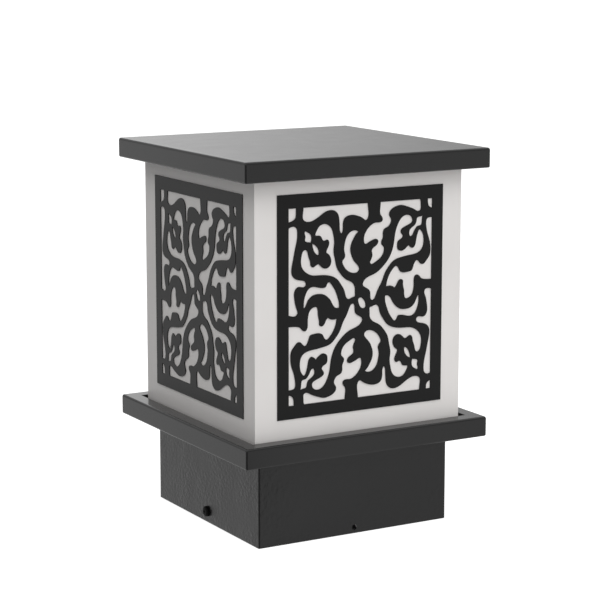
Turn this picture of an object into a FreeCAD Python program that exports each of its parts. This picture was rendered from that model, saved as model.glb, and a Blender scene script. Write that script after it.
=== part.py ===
import FreeCAD, Part
import math
import os

# Sizes are in millimetres. The origin is the middle of the skirt's bottom rim, +Z is up, the front faces -Y.

# Folded sheet of the housing
sheet = 1.2
fold_radius = 1.0
edge_radius = 1.5
hem_radius = 0.4
rim_radius = 1.1
fit_gap = 0.3
overrun = 1.0
level_tolerance = 0.000001

# Laser-cut screens bonded on the panes, each shifted a little to the right as one faces it
screen_width = 121.0
screen_height = 140.5
screen_sheet = 0.6
screen_shift = 0.65
screen_rise = 11.9
screen_drop = 9.9

# Diffuser box of four mitred panes
screen_margin = 15.0
pane = 3.0
gasket = 2.0
gasket_width = 4.0
diffuser_side = screen_width + 2 * screen_margin
diffuser_showing = screen_rise + screen_height + screen_drop

# Skirt that drops over the pillar bracket
skirt_setback = 5.5
skirt_side = diffuser_side - 2 * skirt_setback
skirt_height = 57.2
skirt_lip = 12.0
weep_radius = 1.8
weep_height = 3.9

# Lower flange, a shallow folded pan with a square opening round the diffuser
flange_overhang = 13.4
flange_side = diffuser_side + 2 * flange_overhang
flange_depth = 13.2
flange_gap = 3.5

# Cap, the same pan with a closed top
cap_overhang = 13.2
cap_side = diffuser_side + 2 * cap_overhang
cap_depth = 12.9

# Locating frames inside the diffuser's ends
frame_foot = 16.0
frame_leg = 10.0

# Tie rods, washers and nuts, M4
rod_radius = 2.0
rod_inset = 7.0
rod_tail = 2.0
bolt_clearance = 0.25
thread_gap = 0.05
washer_radius = 4.5
washer_height = 0.8
nut_flats = 7.0
nut_height = 3.2

# Bracket that is anchored on the pillar
bracket_sheet = 2.0
ear_width = 30.0
ear_height = 16.0
anchor_radius = 3.25
anchor_pitch = 60.0
anchor_margin = 10.0
bracket_depth = anchor_pitch + 2 * anchor_margin
cable_radius = 20.0

# Pan-head screws at the sides of the skirt
screw_rise = 1.7
screw_height = bracket_sheet + nut_flats / 2 + screw_rise
screw_length = 10.0
head_radius = 3.5
head_height = 2.2
head_round = 1.4
recess_width = 0.8
recess_length = 4.0
recess_depth = 1.3

# Lamp holder, a thermoset body with brass inside
holder_base_radius = 26.0
holder_base_height = 12.0
holder_radius = 20.0
holder_lip = 1.2
holder_rim = 1.5
holder_cavity_radius = 15.0
holder_cavity_height = 9.0
holder_partition = 8.0
holder_bolt_inset = 5.0
holder_bolt_offset = holder_base_radius - holder_bolt_inset
shell_wall = 0.4
contact_sheet = 0.5
contact_radius = 5.0
contact_spring = 2.0
terminal_radius = 2.2
terminal_height = 5.0

# Lamp with a 27 mm screw cap
lamp_cap_radius = 13.1
lamp_cap_height = 22.0
lamp_cap_wall = 0.5
lamp_insulator_height = 2.0
lamp_insulator_radius = 9.0
lamp_tip_radius = 4.5
lamp_tip_height = 1.0
lamp_housing_height = 34.0
lamp_radius = 30.0
lamp_globe_height = 50.0
lamp_wall = 1.2
board_thickness = 1.6
chip_side = 2.8
chip_height = 0.8
chip_circle = 15.0
chip_count = 8

# Terminal block under the tray
block_height = 14.0
block_gap = 5.0
block_side_wall = 2.3
block_end_wall = 2.0
clamp_radius = 2.5
clamp_bore = 1.5
clamp_length = 14.0
clamp_screw_radius = 1.2
clamp_screw_pitch = 8.0
clamp_screw_depth = 1.0
block_screw_radius = 1.5
block_nut_flats = 5.5
block_nut_height = 2.4
block_offset = holder_base_radius + block_gap
block_width = clamp_length + 2 * block_end_wall
pole_pitch = 2 * (clamp_radius + block_screw_radius + fit_gap)
block_length = 2 * (pole_pitch + clamp_radius + block_side_wall)

# Grommet, earth screw and wires
grommet_bore = 5.0
grommet_wall = 2.0
grommet_lip = 2.0
earth_offset = 38.0
earth_depth = 6.0
earth_length = 8.0
eyelet_radius = 4.2
eyelet_sheet = 0.8
barrel_radius = 1.8
barrel_length = 6.0
wire_radius = 1.1
terminal_gap = 0.4
wire_spread = terminal_radius + terminal_gap
wire_tail = 4.0
bend_share = 0.45

# Levels and sides that follow from the sizes above
flange_top = skirt_height + flange_depth
cap_low = flange_top + diffuser_showing
cap_top = cap_low + cap_depth
cap_ceiling = cap_top - sheet
tray_floor = skirt_height + sheet
tray_side = flange_side - 2 * sheet - fit_gap
pane_low = tray_floor + gasket
pane_high = cap_ceiling - gasket
diffuser_inside = diffuser_side - 2 * pane
frame_side = diffuser_inside - 2 * fit_gap
skirt_inside = skirt_side - 2 * sheet
rod_offset = skirt_side / 2 - rod_inset
screen_low = flange_top + screen_rise
screen_middle = screen_low + screen_height / 2
pole_height = skirt_height - block_height / 2

# The screen's cut-outs. Points are shares of the screen's width and height from its middle, and a third
# value marks a corner. The plate outside the window shares stays whole.
window_shares = (-0.434, -0.440, 0.433, 0.438)

# Each cut-out, and the point about which its partner is turned half round
corner_small_share = [(-.450, .445, 1), (-.388, .445, 1), (-.390, .416), (-.396, .393), (-.410, .384),
                      (-.450, .378, 1)]
wave_share = [(-.349, .445, 1), (.038, .445, 1), (.040, .410), (.035, .368), (.029, .363), (.008, .371),
              (-.022, .384), (-.053, .390), (-.081, .388), (-.100, .380), (-.110, .365), (-.113, .339),
              (-.116, .318), (-.122, .311), (-.129, .318), (-.133, .339), (-.135, .368), (-.141, .395),
              (-.159, .413), (-.187, .419), (-.214, .414), (-.245, .399), (-.279, .382), (-.314, .374),
              (-.334, .377), (-.348, .386), (-.351, .410)]
flower_share = [(.113, .445, 1), (.345, .445, 1), (.361, .431), (.363, .410), (.360, .389), (.351, .385),
                (.324, .393), (.276, .410), (.239, .418), (.207, .413), (.180, .401), (.168, .386),
                (.170, .371), (.180, .356), (.176, .339), (.159, .324), (.139, .316), (.130, .300),
                (.130, .279), (.120, .256), (.122, .247), (.135, .235), (.137, .220), (.128, .199),
                (.104, .179), (.080, .168), (.058, .163), (.052, .170), (.056, .181), (.065, .205),
                (.062, .226), (.074, .237), (.094, .249), (.100, .265), (.094, .272), (.063, .269),
                (.046, .263), (.029, .256), (.019, .257), (.014, .267), (.015, .291), (.029, .315),
                (.053, .336), (.084, .347), (.118, .349), (.126, .356), (.125, .368), (.113, .383),
                (.111, .410)]
corner_large_share = [(.405, .445, 1), (.445, .445, 1), (.445, .393, 1), (.423, .398), (.411, .407),
                      (.406, .422)]
edge_share = [(-.450, .345, 1), (-.423, .356), (-.403, .358), (-.389, .351), (-.382, .327), (-.386, .291),
              (-.396, .256), (-.406, .214), (-.416, .173), (-.415, .149), (-.403, .132), (-.375, .120),
              (-.348, .115), (-.334, .106), (-.333, .095), (-.341, .088), (-.375, .090), (-.392, .081),
              (-.401, .060), (-.398, .030), (-.388, -.005), (-.382, -.029), (-.389, -.037),
              (-.416, -.038), (-.450, -.030, 1)]
kite_share = [(-.339, .332), (-.320, .327), (-.303, .315), (-.300, .300), (-.303, .283, 1), (-.320, .285),
              (-.338, .292), (-.336, .309), (-.340, .324)]
leaf_share = [(-.296, .275, 1), (-.276, .267), (-.259, .247), (-.256, .232), (-.259, .224), (-.272, .229),
              (-.286, .244), (-.293, .262)]
clover_share = [(-.276, .312), (-.269, .333), (-.252, .352), (-.231, .359), (-.204, .355), (-.180, .336),
                (-.170, .309), (-.164, .273), (-.168, .238), (-.159, .196), (-.149, .161), (-.129, .134),
                (-.094, .104), (-.053, .084), (-.041, .069), (-.038, .036), (-.039, .024), (-.053, .020),
                (-.077, .014), (-.087, .018), (-.101, .048), (-.122, .081), (-.149, .110), (-.190, .127),
                (-.238, .133), (-.300, .137), (-.334, .152), (-.355, .173), (-.362, .196), (-.358, .229),
                (-.348, .247), (-.334, .251), (-.325, .244), (-.317, .220), (-.307, .196), (-.303, .179),
                (-.293, .171), (-.278, .176), (-.259, .183, 1), (-.248, .176), (-.231, .164),
                (-.211, .161), (-.192, .170), (-.183, .190), (-.190, .214), (-.201, .225), (-.211, .232),
                (-.207, .247), (-.197, .265), (-.197, .282), (-.205, .289), (-.225, .285), (-.235, .291),
                (-.245, .306), (-.259, .310)]
crescent_share = [(-.020, .313, 1), (-.039, .320), (-.060, .318), (-.081, .306), (-.096, .285),
                  (-.103, .262), (-.105, .232), (-.100, .208), (-.105, .199), (-.116, .187),
                  (-.111, .170), (-.094, .149), (-.067, .134), (-.039, .129), (-.019, .136),
                  (-.014, .146), (-.022, .161), (-.046, .184), (-.060, .208), (-.067, .232),
                  (-.063, .259), (-.050, .282), (-.033, .303)]
fan_share = [(.008, .072), (.015, .090), (.036, .104), (.084, .119), (.125, .143), (.159, .173),
             (.183, .208), (.197, .250), (.204, .291), (.221, .333), (.242, .359), (.269, .371),
             (.300, .364), (.309, .353), (.309, .340), (.289, .327), (.255, .315), (.240, .303),
             (.242, .291), (.252, .276), (.245, .267), (.224, .256), (.218, .238), (.224, .217),
             (.242, .210), (.265, .217), (.287, .234, 1), (.300, .223), (.313, .219), (.327, .229),
             (.334, .250), (.344, .285), (.356, .300), (.372, .288), (.382, .262), (.381, .232),
             (.368, .208), (.337, .193), (.289, .187), (.242, .181), (.200, .170), (.166, .143),
             (.142, .113), (.125, .078), (.104, .048), (.087, .015), (.070, -.001), (.060, .001),
             (.054, .018), (.050, .042), (.029, .057)]
petal_share = [(.376, .365, 1), (.372, .351), (.370, .333), (.365, .321), (.344, .316), (.331, .306),
               (.320, .291), (.310, .276), (.298, .273), (.292, .282), (.292, .297), (.307, .312),
               (.327, .324), (.336, .342), (.341, .355), (.358, .359)]
flame_share = [(.403, .348), (.416, .352), (.445, .351, 1), (.445, .068, 1), (.385, .072), (.368, .078),
               (.355, .090), (.337, .094), (.327, .084), (.324, .054), (.320, .024), (.310, .004),
               (.289, -.008), (.272, -.008), (.264, .004), (.262, .030), (.255, .060), (.254, .075),
               (.242, .081), (.228, .075), (.214, .054), (.202, .045, 1), (.187, .054), (.166, .056),
               (.151, .054, 1), (.156, .078), (.170, .107), (.194, .134), (.211, .143), (.224, .136),
               (.235, .119), (.248, .112), (.289, .112), (.307, .116), (.317, .131), (.327, .152),
               (.339, .161), (.355, .152), (.365, .143), (.379, .141), (.399, .155), (.420, .179),
               (.425, .205), (.420, .244), (.406, .279), (.398, .309), (.396, .333)]
arch_share = [(-.344, -.011, 1), (-.344, .024), (-.334, .054), (-.314, .078), (-.293, .084),
              (-.262, .079), (-.235, .075), (-.214, .079), (-.206, .093), (-.197, .098), (-.180, .087),
              (-.159, .060), (-.142, .024), (-.134, -.005), (-.135, -.020, 1), (-.153, -.020),
              (-.170, -.008), (-.183, .012), (-.204, .033), (-.231, .047), (-.259, .050),
              (-.293, .045), (-.320, .024), (-.334, .001)]
seed_share = [(-.014, .014), (-.002, .015), (.015, .004), (.026, -.017), (.024, -.030), (.008, -.034),
              (-.007, -.026), (-.017, -.008)]
paired_shares = [
    (corner_small_share, (.008, -.010)),
    (wave_share, (.009, .000)),
    (flower_share, (.008, -.002)),
    (corner_large_share, (.001, .001)),
    (edge_share, (.004, -.006)),
    (kite_share, (.007, -.005)),
    (leaf_share, (.005, -.005)),
    (clover_share, (.006, -.005)),
    (crescent_share, (.002, -.004)),
    (fan_share, (.007, -.005)),
    (petal_share, (.005, -.005)),
    (flame_share, (.001, -.008)),
    (arch_share, (.005, -.004)),
]


def point(x, y, z=0):
    return FreeCAD.Vector(x, y, z)


def moved(shape, x=0, y=0, z=0):
    copy = shape.copy()
    copy.translate(point(x, y, z))
    return copy


def turned(shape, degrees, axis=(0, 0, 1)):
    copy = shape.copy()
    copy.rotate(point(0, 0), point(*axis), degrees)
    return copy


def block(length, width, low, high, x=0, y=0):
    corner = point(x - length / 2, y - width / 2, low)
    return Part.makeBox(length, width, high - low, corner)


def square(side, low, high):
    return block(side, side, low, high)


def disc(radius, low, high, x=0, y=0):
    return Part.makeCylinder(radius, high - low, point(x, y, low))


def hexagon(flats, low, high, x=0, y=0):
    radius = flats / math.sqrt(3)
    corners = [point(x + radius * math.cos(k * math.pi / 3), y + radius * math.sin(k * math.pi / 3), low)
               for k in range(7)]
    return Part.Face(Part.makePolygon(corners)).extrude(point(0, 0, high - low))


def turned_profile(points):
    """A solid of revolution about Z from (radius, height) points joined by straight lines."""
    corners = [point(r, 0, z) for r, z in points]
    face = Part.Face(Part.makePolygon(corners + corners[:1]))
    return face.revolve(point(0, 0), point(0, 0, 1), 360)


def corners_of(offset):
    return [(x, y) for x in (-offset, offset) for y in (-offset, offset)]


def level_edges(shape, height):
    return [edge for edge in shape.Edges
            if all(abs(vertex.Z - height) < level_tolerance for vertex in edge.Vertexes)]


def upright_edges(shape):
    return [edge for edge in shape.Edges
            if abs(edge.Vertexes[0].Z - edge.Vertexes[-1].Z) > level_tolerance]


# Folded housing

def folded_block(side, low, high, bottom_radius):
    """The outside of a folded box: rounded corners, a bent top edge and a dressed bottom rim."""
    body = square(side, low, high)
    body = body.makeFillet(fold_radius, upright_edges(body))
    body = body.makeFillet(edge_radius, level_edges(body, high))
    return body.makeFillet(bottom_radius, level_edges(body, low))


def skirt():
    body = folded_block(skirt_side, 0, skirt_height, hem_radius)
    body = body.cut(square(skirt_inside, -overrun, skirt_height - sheet))
    body = body.cut(square(skirt_side - 2 * skirt_lip, 0, skirt_height + overrun))
    side_hole = disc(rod_radius + bolt_clearance, -skirt_side, skirt_side)
    weep_hole = disc(weep_radius, -skirt_side, skirt_side)
    body = body.cut(moved(turned(side_hole, 90, (0, 1, 0)), z=screw_height))
    body = body.cut(moved(turned(weep_hole, 90, (1, 0, 0)), z=weep_height))
    return body.cut(rod_holes(0, skirt_height + overrun))


def lower_flange():
    body = folded_block(flange_side, skirt_height, flange_top, rim_radius)
    body = body.cut(square(flange_side - 2 * sheet, skirt_height - overrun, flange_top - sheet))
    return body.cut(square(diffuser_side + 2 * flange_gap, skirt_height, flange_top + overrun))


def cap():
    body = folded_block(cap_side, cap_low, cap_top, rim_radius)
    return body.cut(square(cap_side - 2 * sheet, cap_low - overrun, cap_ceiling))


def tray():
    """Floor of the light, with a turned-up edge that carries the flange."""
    body = square(tray_side, skirt_height, flange_top - sheet)
    body = body.cut(square(tray_side - 2 * sheet, tray_floor, flange_top))
    body = body.cut(rod_holes(0, flange_top))
    body = body.cut(disc(grommet_bore + grommet_wall, 0, flange_top))
    for x in (-holder_bolt_offset, holder_bolt_offset):
        body = body.cut(disc(rod_radius + bolt_clearance, 0, flange_top, x))
    for x in block_screw_places():
        body = body.cut(disc(block_screw_radius + bolt_clearance, 0, flange_top, x, block_offset))
    return body.cut(disc(rod_radius + bolt_clearance, 0, flange_top, earth_offset, earth_depth))


def rod_holes(low, high):
    return Part.makeCompound([disc(rod_radius + bolt_clearance, low, high, x, y)
                              for x, y in corners_of(rod_offset)])


# Diffuser and screens

def pane_solid():
    """The front pane, mitred at 45 degrees where it meets its neighbours."""
    out = diffuser_side / 2
    inner = diffuser_inside / 2
    corners = [point(-out, -out, pane_low), point(out, -out, pane_low), point(inner, -inner, pane_low),
               point(-inner, -inner, pane_low), point(-out, -out, pane_low)]
    return Part.Face(Part.makePolygon(corners)).extrude(point(0, 0, pane_high - pane_low))


def square_ring(outside, inside, low, high):
    return square(outside, low, high).cut(square(inside, low - overrun, high + overrun))


def gasket_ring(low):
    return square_ring(diffuser_inside + 2 * gasket_width, diffuser_inside, low, low + gasket)


def locating_frame(foot_low, leg_low, leg_high):
    """An angle frame: its foot lies on the sheet and its leg stands just inside the panes."""
    leg = square_ring(frame_side, frame_side - 2 * sheet, leg_low, leg_high)
    foot = square_ring(frame_side, frame_side - 2 * frame_foot, foot_low, foot_low + sheet)
    return leg.fuse(foot).removeSplitter().cut(rod_holes(0, cap_top))


def shared_wire(shares):
    """A closed wire through points given as shares, smooth except at marked corners."""
    places = [point(p[0] * screen_width, p[1] * screen_height) for p in shares]
    corners = [k for k, p in enumerate(shares) if len(p) == 3]
    if not corners:
        curve = Part.BSplineCurve()
        curve.interpolate(Points=places, PeriodicFlag=True)
        return Part.Wire([curve.toShape()])
    count = len(places)
    edges = []
    for start, end in zip(corners, corners[1:] + [corners[0] + count]):
        run = [places[k % count] for k in range(start, end + 1)]
        if len(run) == 2:
            edges.append(Part.LineSegment(*run).toShape())
        else:
            curve = Part.BSplineCurve()
            curve.interpolate(Points=run)
            edges.append(curve.toShape())
    return Part.Wire(edges)


def half_turned(shares, centre):
    return [(2 * centre[0] - p[0], 2 * centre[1] - p[1]) + tuple(p[2:]) for p in shares]


def screen():
    """The front screen: a plate whose scrollwork is what the cut-outs leave inside the window."""
    left, low, right, high = window_shares
    window = block((right - left) * screen_width, (high - low) * screen_height,
                   -overrun, screen_sheet + overrun,
                   (right + left) / 2 * screen_width, (high + low) / 2 * screen_height)
    outlines = [seed_share]
    for shares, centre in paired_shares:
        outlines.append(shares)
        outlines.append(half_turned(shares, centre))
    plate = block(screen_width, screen_height, 0, screen_sheet)
    for shares in outlines:
        cutter = Part.Face(shared_wire(shares)).extrude(point(0, 0, screen_sheet))
        if max(abs(p[0]) for p in shares) > right or max(abs(p[1]) for p in shares) > high:
            cutter = cutter.common(window)
        plate = plate.cut(cutter)
    upright = turned(plate, 90, (1, 0, 0))
    return moved(upright, x=screen_shift, y=-diffuser_side / 2, z=screen_middle)


# Fasteners

def nut(flats, height, bore, low, x, y):
    return hexagon(flats, low, low + height, x, y).cut(disc(bore + thread_gap, low, low + height, x, y))


def washer(low, x, y):
    ring = disc(washer_radius, low, low + washer_height, x, y)
    return ring.cut(disc(rod_radius + bolt_clearance, low, low + washer_height, x, y))


def pan_head(radius, height, rounding):
    """A pan head with a cross recess, its seat at height zero and its top at +Z."""
    head = disc(radius, 0, height)
    head = head.makeFillet(rounding, level_edges(head, height))
    floor = height - recess_depth * height / head_height
    reach = recess_length * radius / head_radius
    width = recess_width * radius / head_radius
    head = head.cut(block(reach, width, floor, height + overrun))
    return head.cut(block(width, reach, floor, height + overrun))


def pan_screw(radius, length, size=1):
    """A pan-head screw along Z: head above height zero, shank below it."""
    head = pan_head(head_radius * size, head_height * size, head_round * size)
    return head.fuse(disc(radius, -length, 0)).removeSplitter()


def skirt_screws():
    screw = turned(pan_screw(rod_radius, screw_length), 90, (0, 1, 0))
    screw = moved(screw, x=skirt_side / 2, z=screw_height)
    return Part.makeCompound([screw, turned(screw, 180)])


def tie_rods():
    """Threaded rods welded under the cap, long enough to draw cap, panes, tray and skirt together."""
    low = skirt_height - sheet - washer_height - nut_height - rod_tail
    return Part.makeCompound([disc(rod_radius, low, cap_ceiling, x, y)
                              for x, y in corners_of(rod_offset)])


def rod_washers():
    low = skirt_height - sheet - washer_height
    return Part.makeCompound([washer(low, x, y) for x, y in corners_of(rod_offset)])


def rod_nuts():
    low = skirt_height - sheet - washer_height - nut_height
    return Part.makeCompound([nut(nut_flats, nut_height, rod_radius, low, x, y)
                              for x, y in corners_of(rod_offset)])


def cap_nuts():
    low = cap_ceiling - sheet - nut_height
    return Part.makeCompound([nut(nut_flats, nut_height, rod_radius, low, x, y)
                              for x, y in corners_of(rod_offset)])


# Pillar bracket

def bracket():
    outer = skirt_inside / 2 - fit_gap
    plate = block(2 * outer, bracket_depth, 0, bracket_sheet)
    ears = block(2 * outer, ear_width, 0, ear_height)
    ears = ears.cut(block(2 * (outer - bracket_sheet), ear_width, bracket_sheet, ear_height))
    body = plate.fuse(ears).removeSplitter()
    body = body.cut(disc(cable_radius, -overrun, ear_height))
    for x, y in corners_of(anchor_pitch / 2):
        body = body.cut(disc(anchor_radius, -overrun, ear_height, x, y))
    ear_hole = turned(disc(rod_radius + bolt_clearance, -skirt_side, skirt_side), 90, (0, 1, 0))
    return body.cut(moved(ear_hole, z=screw_height))


def bracket_nuts():
    """Square weld nuts on the inner faces of the ears."""
    inner = skirt_inside / 2 - fit_gap - bracket_sheet
    body = block(nut_flats, nut_flats, 0, nut_height).cut(disc(rod_radius + thread_gap, 0, nut_height))
    first = moved(turned(body, -90, (0, 1, 0)), x=inner, z=screw_height)
    return Part.makeCompound([first, turned(first, 180)])


# Lamp holder

holder_low = tray_floor
holder_seat = holder_low + holder_cavity_height + holder_partition
shell_radius = lamp_cap_radius + fit_gap
lamp_low = holder_seat + contact_sheet + contact_spring + fit_gap
lamp_cap_low = lamp_low + lamp_tip_height + lamp_insulator_height
lamp_cap_top = lamp_cap_low + lamp_cap_height
holder_top = lamp_cap_top + holder_lip


def holder_body():
    body = disc(holder_base_radius, holder_low, holder_low + holder_base_height)
    body = body.fuse(disc(holder_radius, holder_low, holder_top)).removeSplitter()
    body = body.makeFillet(holder_rim, level_edges(body, holder_top))
    bore = shell_radius + shell_wall + fit_gap
    body = body.cut(disc(bore, holder_seat, holder_top + overrun))
    body = body.cut(disc(holder_cavity_radius, holder_low, holder_low + holder_cavity_height))
    body = body.cut(disc(clamp_screw_radius + fit_gap, holder_low, holder_seat))
    for x in (-holder_bolt_offset, holder_bolt_offset):
        body = body.cut(disc(rod_radius + bolt_clearance, holder_low, holder_low + holder_base_height, x))
        body = body.cut(disc(head_radius + fit_gap, holder_low + holder_base_height / 2, holder_top, x))
    return body


def holder_shell():
    low = holder_seat + contact_sheet
    high = holder_top - holder_rim
    tube = disc(shell_radius + shell_wall, low, high)
    return tube.cut(disc(shell_radius, low - overrun, high))


def holder_contact():
    """A sprung brass tongue on the floor of the holder's bore."""
    plate = disc(contact_radius, holder_seat, holder_seat + contact_sheet)
    post = disc(clamp_screw_radius, holder_low + holder_cavity_height, holder_seat)
    spring = disc(contact_radius / 2, holder_seat, holder_seat + contact_sheet + contact_spring)
    return plate.fuse(spring).fuse(post).removeSplitter()


def holder_terminals():
    """Brass sleeves in the holder's cavity that take the ends of the two wires."""
    high = holder_low + holder_cavity_height
    low = high - terminal_height
    sleeves = [disc(terminal_radius, low, high, x).cut(disc(wire_radius + thread_gap, low, high, x))
               for x in (-wire_spread, wire_spread)]
    return Part.makeCompound(sleeves)


def holder_screws():
    seat = holder_low + holder_base_height / 2
    length = seat - skirt_height + nut_height + rod_tail
    return Part.makeCompound([moved(pan_screw(rod_radius, length), x, 0, seat)
                              for x in (-holder_bolt_offset, holder_bolt_offset)])


def holder_nuts():
    return Part.makeCompound([nut(nut_flats, nut_height, rod_radius, skirt_height - nut_height, x, 0)
                              for x in (-holder_bolt_offset, holder_bolt_offset)])


# Lamp

def lamp_contact():
    return disc(lamp_tip_radius, lamp_low, lamp_low + lamp_tip_height)


def lamp_insulator():
    low = lamp_low + lamp_tip_height
    return turned_profile([(0, low), (lamp_insulator_radius / 2, low),
                           (lamp_insulator_radius, lamp_cap_low), (0, lamp_cap_low)])


def lamp_cap():
    wall = lamp_cap_radius - lamp_cap_wall
    body = disc(lamp_cap_radius, lamp_cap_low, lamp_cap_top)
    return body.cut(disc(wall, lamp_cap_low + lamp_cap_wall, lamp_cap_top + overrun))


def lamp_housing():
    """A hollow moulded cone from the screw cap to the board."""
    neck = lamp_cap_radius - lamp_cap_wall - thread_gap
    top = lamp_cap_top + lamp_housing_height
    low = lamp_cap_low + lamp_cap_height / 2
    wide = lamp_radius - lamp_wall
    return turned_profile([(neck, low), (neck, lamp_cap_top), (lamp_cap_radius, lamp_cap_top),
                           (lamp_radius, top), (wide, top), (neck - lamp_wall, lamp_cap_top),
                           (neck - lamp_wall, low)])


def lamp_globe():
    """A domed cover on the housing's rim: half an ellipsoid with an even wall."""
    low = lamp_cap_top + lamp_housing_height
    outer = dome(lamp_radius, lamp_globe_height)
    inner = dome(lamp_radius - lamp_wall, lamp_globe_height - lamp_wall)
    return moved(outer.cut(inner), z=low)


def dome(radius, height):
    ellipse = Part.Ellipse(point(0, 0), max(radius, height), min(radius, height))
    quarter = Part.Arc(ellipse, 0, math.pi / 2).toShape()
    if height > radius:
        quarter = turned(Part.Arc(ellipse, -math.pi / 2, 0).toShape(), 90)
    upright = turned(quarter, 90, (1, 0, 0))
    foot = Part.LineSegment(point(0, 0), point(radius, 0)).toShape()
    axis = Part.LineSegment(point(0, 0, height), point(0, 0)).toShape()
    face = Part.Face(Part.Wire(Part.__sortEdges__([foot, upright, axis])))
    return face.revolve(point(0, 0), point(0, 0, 1), 360)


def led_board():
    """A board that fills the mouth of the housing."""
    high = lamp_cap_top + lamp_housing_height
    low = high - board_thickness
    slope = (lamp_radius - lamp_cap_radius + lamp_cap_wall) / lamp_housing_height
    return disc(lamp_radius - lamp_wall - fit_gap - slope * board_thickness, low, high)


def led_chips():
    low = lamp_cap_top + lamp_housing_height
    chip = block(chip_side, chip_side, low, low + chip_height, chip_circle)
    return Part.makeCompound([turned(chip, k * 360 / chip_count) for k in range(chip_count)])


# Terminal block, grommet, earth and wires

def poles():
    return [-pole_pitch, 0, pole_pitch]


def block_screw_places():
    return [-pole_pitch / 2, pole_pitch / 2]


def clamp_screw_rows():
    return [block_offset - clamp_screw_pitch / 2, block_offset + clamp_screw_pitch / 2]


def across(radius, length, x, z):
    """A rod along Y through the terminal block."""
    rod = turned(disc(radius, -length / 2, length / 2), 90, (1, 0, 0))
    return moved(rod, x, block_offset, z)


def terminal_block():
    low = skirt_height - block_height
    body = block(block_length, block_width, low, skirt_height, 0, block_offset)
    for x in poles():
        body = body.cut(across(clamp_radius + thread_gap, block_width + overrun, x, pole_height))
        for y in clamp_screw_rows():
            body = body.cut(disc(clamp_screw_radius + fit_gap, low - overrun, pole_height, x, y))
    for x in block_screw_places():
        bore = disc(block_screw_radius + bolt_clearance, low - overrun, skirt_height, x, block_offset)
        body = body.cut(bore)
    return body


def terminal_clamps():
    clamps = []
    for x in poles():
        tube = across(clamp_radius, clamp_length, x, pole_height)
        tube = tube.cut(across(clamp_bore, clamp_length + overrun, x, pole_height))
        for y in clamp_screw_rows():
            low = pole_height - clamp_radius - overrun
            tube = tube.cut(disc(clamp_screw_radius + thread_gap, low, pole_height, x, y))
        clamps.append(tube)
    return Part.makeCompound(clamps)


def terminal_screws():
    low = skirt_height - block_height + clamp_screw_depth
    high = pole_height - wire_radius - thread_gap
    return Part.makeCompound([disc(clamp_screw_radius, low, high, x, y)
                              for x in poles() for y in clamp_screw_rows()])


def block_screws():
    low = skirt_height - block_height
    high = tray_floor + block_nut_height + rod_tail / 2
    size = block_screw_radius / rod_radius
    screw = turned(pan_screw(block_screw_radius, high - low, size), 180, (1, 0, 0))
    return Part.makeCompound([moved(screw, x, block_offset, low) for x in block_screw_places()])


def block_nuts():
    return Part.makeCompound([nut(block_nut_flats, block_nut_height, block_screw_radius, tray_floor,
                                  x, block_offset)
                              for x in block_screw_places()])


def grommet():
    """A rubber ring whose groove grips the edge of the tray's wire hole."""
    waist = grommet_bore + grommet_wall - thread_gap
    lip = waist + grommet_lip
    body = disc(waist, skirt_height - grommet_lip, tray_floor + grommet_lip)
    body = body.fuse(disc(lip, skirt_height - grommet_lip, skirt_height))
    body = body.fuse(disc(lip, tray_floor, tray_floor + grommet_lip)).removeSplitter()
    return body.cut(disc(grommet_bore, 0, tray_floor + grommet_lip + overrun))


def earth_screw():
    seat = skirt_height - eyelet_sheet
    screw = turned(pan_screw(rod_radius, earth_length), 180, (1, 0, 0))
    return moved(screw, earth_offset, earth_depth, seat)


def earth_nut():
    return nut(nut_flats, nut_height, rod_radius, tray_floor, earth_offset, earth_depth)


barrel_height = skirt_height - barrel_radius - thread_gap
barrel_end = earth_offset - head_radius - fit_gap


def earth_eyelet():
    ring = disc(eyelet_radius, skirt_height - eyelet_sheet, skirt_height, earth_offset, earth_depth)
    start = barrel_end - barrel_length
    neck = block(earth_offset - start, 2 * barrel_radius, skirt_height - eyelet_sheet, skirt_height,
                 (earth_offset + start) / 2, earth_depth)
    barrel = turned(disc(barrel_radius, 0, barrel_length), 90, (0, 1, 0))
    barrel = moved(barrel, start, earth_depth, barrel_height)
    body = ring.fuse(neck).fuse(barrel).removeSplitter()
    body = body.cut(disc(rod_radius + bolt_clearance, 0, tray_floor, earth_offset, earth_depth))
    bore = turned(disc(wire_radius + thread_gap, -overrun, barrel_length / 2), 90, (0, 1, 0))
    return body.cut(moved(bore, start, earth_depth, barrel_height))


def wire(route, name):
    """A wire of straight runs joined by tangent arcs, each as large as its two runs allow."""
    edges = []
    radii = []
    here = route[0]
    for before, corner, after in zip(route, route[1:], route[2:]):
        inward = (before - corner).normalize()
        outward = (after - corner).normalize()
        half_turn = (math.pi - inward.getAngle(outward)) / 2
        reach = bend_share * min(before.distanceToPoint(corner), corner.distanceToPoint(after))
        radius = reach / math.tan(half_turn)
        middle = (inward + outward).normalize()
        top = corner + middle * (radius / math.cos(half_turn) - radius)
        edges.append(Part.LineSegment(here, corner + inward * reach).toShape())
        edges.append(Part.Arc(corner + inward * reach, top, corner + outward * reach).toShape())
        here = corner + outward * reach
        radii.append(radius)
    edges.append(Part.LineSegment(here, route[-1]).toShape())
    path = Part.Wire(edges)
    start = Part.Wire(Part.makeCircle(wire_radius, route[0], route[1] - route[0]))
    solid = path.makePipeShell([start], True, False)
    expected = math.pi * wire_radius ** 2 * path.Length
    print(name, "radii", [round(r, 1) for r in radii], "volume ratio", round(solid.Volume / expected, 4))
    return solid


def lamp_wire_route(side):
    """From a clamp of the block to the cavity of the holder, up through the grommet."""
    inside_clamp = block_offset - clamp_screw_pitch / 2 - clamp_screw_radius
    return [point(side * pole_pitch, inside_clamp, pole_height),
            point(side * pole_pitch, block_offset - block_width / 2 - wire_tail, pole_height),
            point(side * wire_spread, 0, pole_height - wire_tail),
            point(side * wire_spread, 0, holder_low + holder_cavity_height)]


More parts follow.
